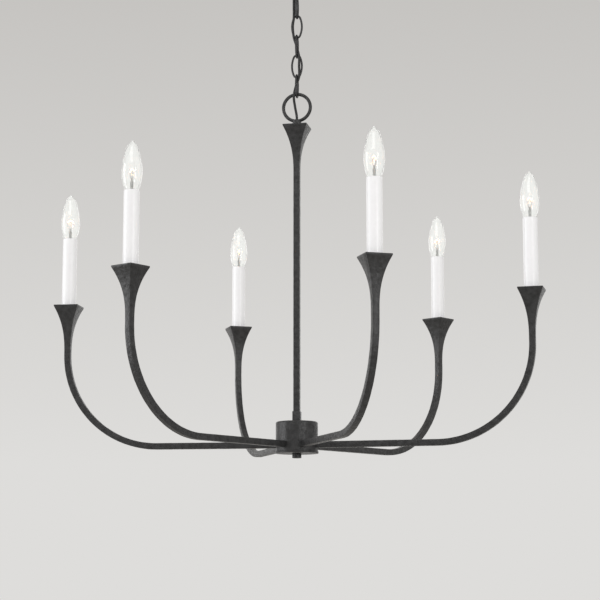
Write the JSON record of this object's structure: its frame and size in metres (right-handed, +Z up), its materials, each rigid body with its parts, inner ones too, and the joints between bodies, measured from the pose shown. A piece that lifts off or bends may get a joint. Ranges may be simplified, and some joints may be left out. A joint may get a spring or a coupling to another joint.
{
  "type": "chandelier",
  "caption": "Black iron chandelier with square bars, upswept arms, candle sleeves and torpedo bulbs, hung by a chain from a round ceiling canopy.",
  "frame": {"origin": "centre of the two ceiling screws, in the ceiling's plane", "axes": "+Z up; +X towards the first arm and along the crossbar; the object hangs down along -Z"},
  "size_m": [0.7589, 0.6877, 0.8294],
  "materials": {
    "black_iron": "rough cast texture, satin",
    "steel": "zinc plated",
    "green_screw": "gloss",
    "brass": "turned",
    "white_sleeve": "gloss",
    "socket_plastic": "moulded",
    "bulb_glass": "clear",
    "cord_sheath": "matt",
    "wire_nut_orange": "moulded"
  },
  "bodies": {
    "ceiling": {"crossbar": "steel", "box_screws": "steel", "ground_screw": "green_screw", "canopy_nipple": "brass", "nipple_nuts": "brass", "canopy": "black_iron", "canopy_loop": "black_iron", "collar_ring": "black_iron", "cord_ceiling": "cord_sheath"},
    "link_1": {"chain_link_1": "black_iron", "cord_1": "cord_sheath"},
    "link_2": {"chain_link_2": "black_iron", "cord_2": "cord_sheath"},
    "link_3": {"chain_link_3": "black_iron", "cord_3": "cord_sheath"},
    "link_4": {"chain_link_4": "black_iron", "cord_4": "cord_sheath"},
    "link_5": {"chain_link_5": "black_iron", "cord_5": "cord_sheath"},
    "link_6": {"chain_link_6": "black_iron", "cord_6": "cord_sheath"},
    "frame": {"hanging_loop": "black_iron", "column_capital": "black_iron", "column_tube": "black_iron", "column_collar": "black_iron", "hub_shell": "black_iron", "hub_cover": "black_iron", "hub_rod": "steel", "hub_nut": "steel", "finial": "black_iron", "wire_nuts": "wire_nut_orange", "arm_nuts": "steel", "lamp_wires": "cord_sheath", "socket_nipples": "brass", "cord_frame": "cord_sheath", "arm_1": "black_iron", "arm_2": "black_iron", "arm_3": "black_iron", "arm_4": "black_iron", "arm_5": "black_iron", "arm_6": "black_iron", "candle_sleeve_1": "white_sleeve", "candle_sleeve_2": "white_sleeve", "candle_sleeve_3": "white_sleeve", "candle_sleeve_4": "white_sleeve", "candle_sleeve_5": "white_sleeve", "candle_sleeve_6": "white_sleeve", "socket_1": "socket_plastic", "socket_2": "socket_plastic", "socket_3": "socket_plastic", "socket_4": "socket_plastic", "socket_5": "socket_plastic", "socket_6": "socket_plastic"},
    "bulb_body_1": {"bulb_1": "bulb_glass"},
    "bulb_body_2": {"bulb_2": "bulb_glass"},
    "bulb_body_3": {"bulb_3": "bulb_glass"},
    "bulb_body_4": {"bulb_4": "bulb_glass"},
    "bulb_body_5": {"bulb_5": "bulb_glass"},
    "bulb_body_6": {"bulb_6": "bulb_glass"}
  },
  "joints": [
    {"name": "chain_swing_1", "type": "hinge", "parent": "ceiling", "child": "link_1", "pos_m": [0, 0, -0.06025], "axis": [0, 1, 0], "range_deg": [-10, 10], "deforming": ["cord_ceiling", "cord_1"]},
    {"name": "chain_swing_2", "type": "hinge", "parent": "link_1", "child": "link_2", "pos_m": [0, 0, -0.0917], "axis": [1, 0, 0], "range_deg": [-10, 10], "deforming": ["cord_1", "cord_2"]},
    {"name": "chain_swing_3", "type": "hinge", "parent": "link_2", "child": "link_3", "pos_m": [0, 0, -0.1238], "axis": [0, 1, 0], "range_deg": [-10, 10], "deforming": ["cord_2", "cord_3"]},
    {"name": "chain_swing_4", "type": "hinge", "parent": "link_3", "child": "link_4", "pos_m": [0, 0, -0.1559], "axis": [1, 0, 0], "range_deg": [-10, 10], "deforming": ["cord_3", "cord_4"]},
    {"name": "chain_swing_5", "type": "hinge", "parent": "link_4", "child": "link_5", "pos_m": [0, 0, -0.188], "axis": [0, 1, 0], "range_deg": [-10, 10], "deforming": ["cord_4", "cord_5"]},
    {"name": "chain_swing_6", "type": "hinge", "parent": "link_5", "child": "link_6", "pos_m": [0, 0, -0.2201], "axis": [1, 0, 0], "range_deg": [-10, 10], "deforming": ["cord_5", "cord_6"]},
    {"name": "chain_swing_7", "type": "hinge", "parent": "link_6", "child": "frame", "pos_m": [0, 0, -0.2522], "axis": [0, 1, 0], "range_deg": [-10, 10], "deforming": ["cord_6", "cord_frame"]},
    {"name": "bulb_unscrew_1", "type": "slide", "parent": "frame", "child": "bulb_body_1", "axis": [0, 0, 1], "range_m": [0, 0.035]},
    {"name": "bulb_unscrew_2", "type": "slide", "parent": "frame", "child": "bulb_body_2", "axis": [0, 0, 1], "range_m": [0, 0.035]},
    {"name": "bulb_unscrew_3", "type": "slide", "parent": "frame", "child": "bulb_body_3", "axis": [0, 0, 1], "range_m": [0, 0.035]},
    {"name": "bulb_unscrew_4", "type": "slide", "parent": "frame", "child": "bulb_body_4", "axis": [0, 0, 1], "range_m": [0, 0.035]},
    {"name": "bulb_unscrew_5", "type": "slide", "parent": "frame", "child": "bulb_body_5", "axis": [0, 0, 1], "range_m": [0, 0.035]},
    {"name": "bulb_unscrew_6", "type": "slide", "parent": "frame", "child": "bulb_body_6", "axis": [0, 0, 1], "range_m": [0, 0.035]}
  ]
}
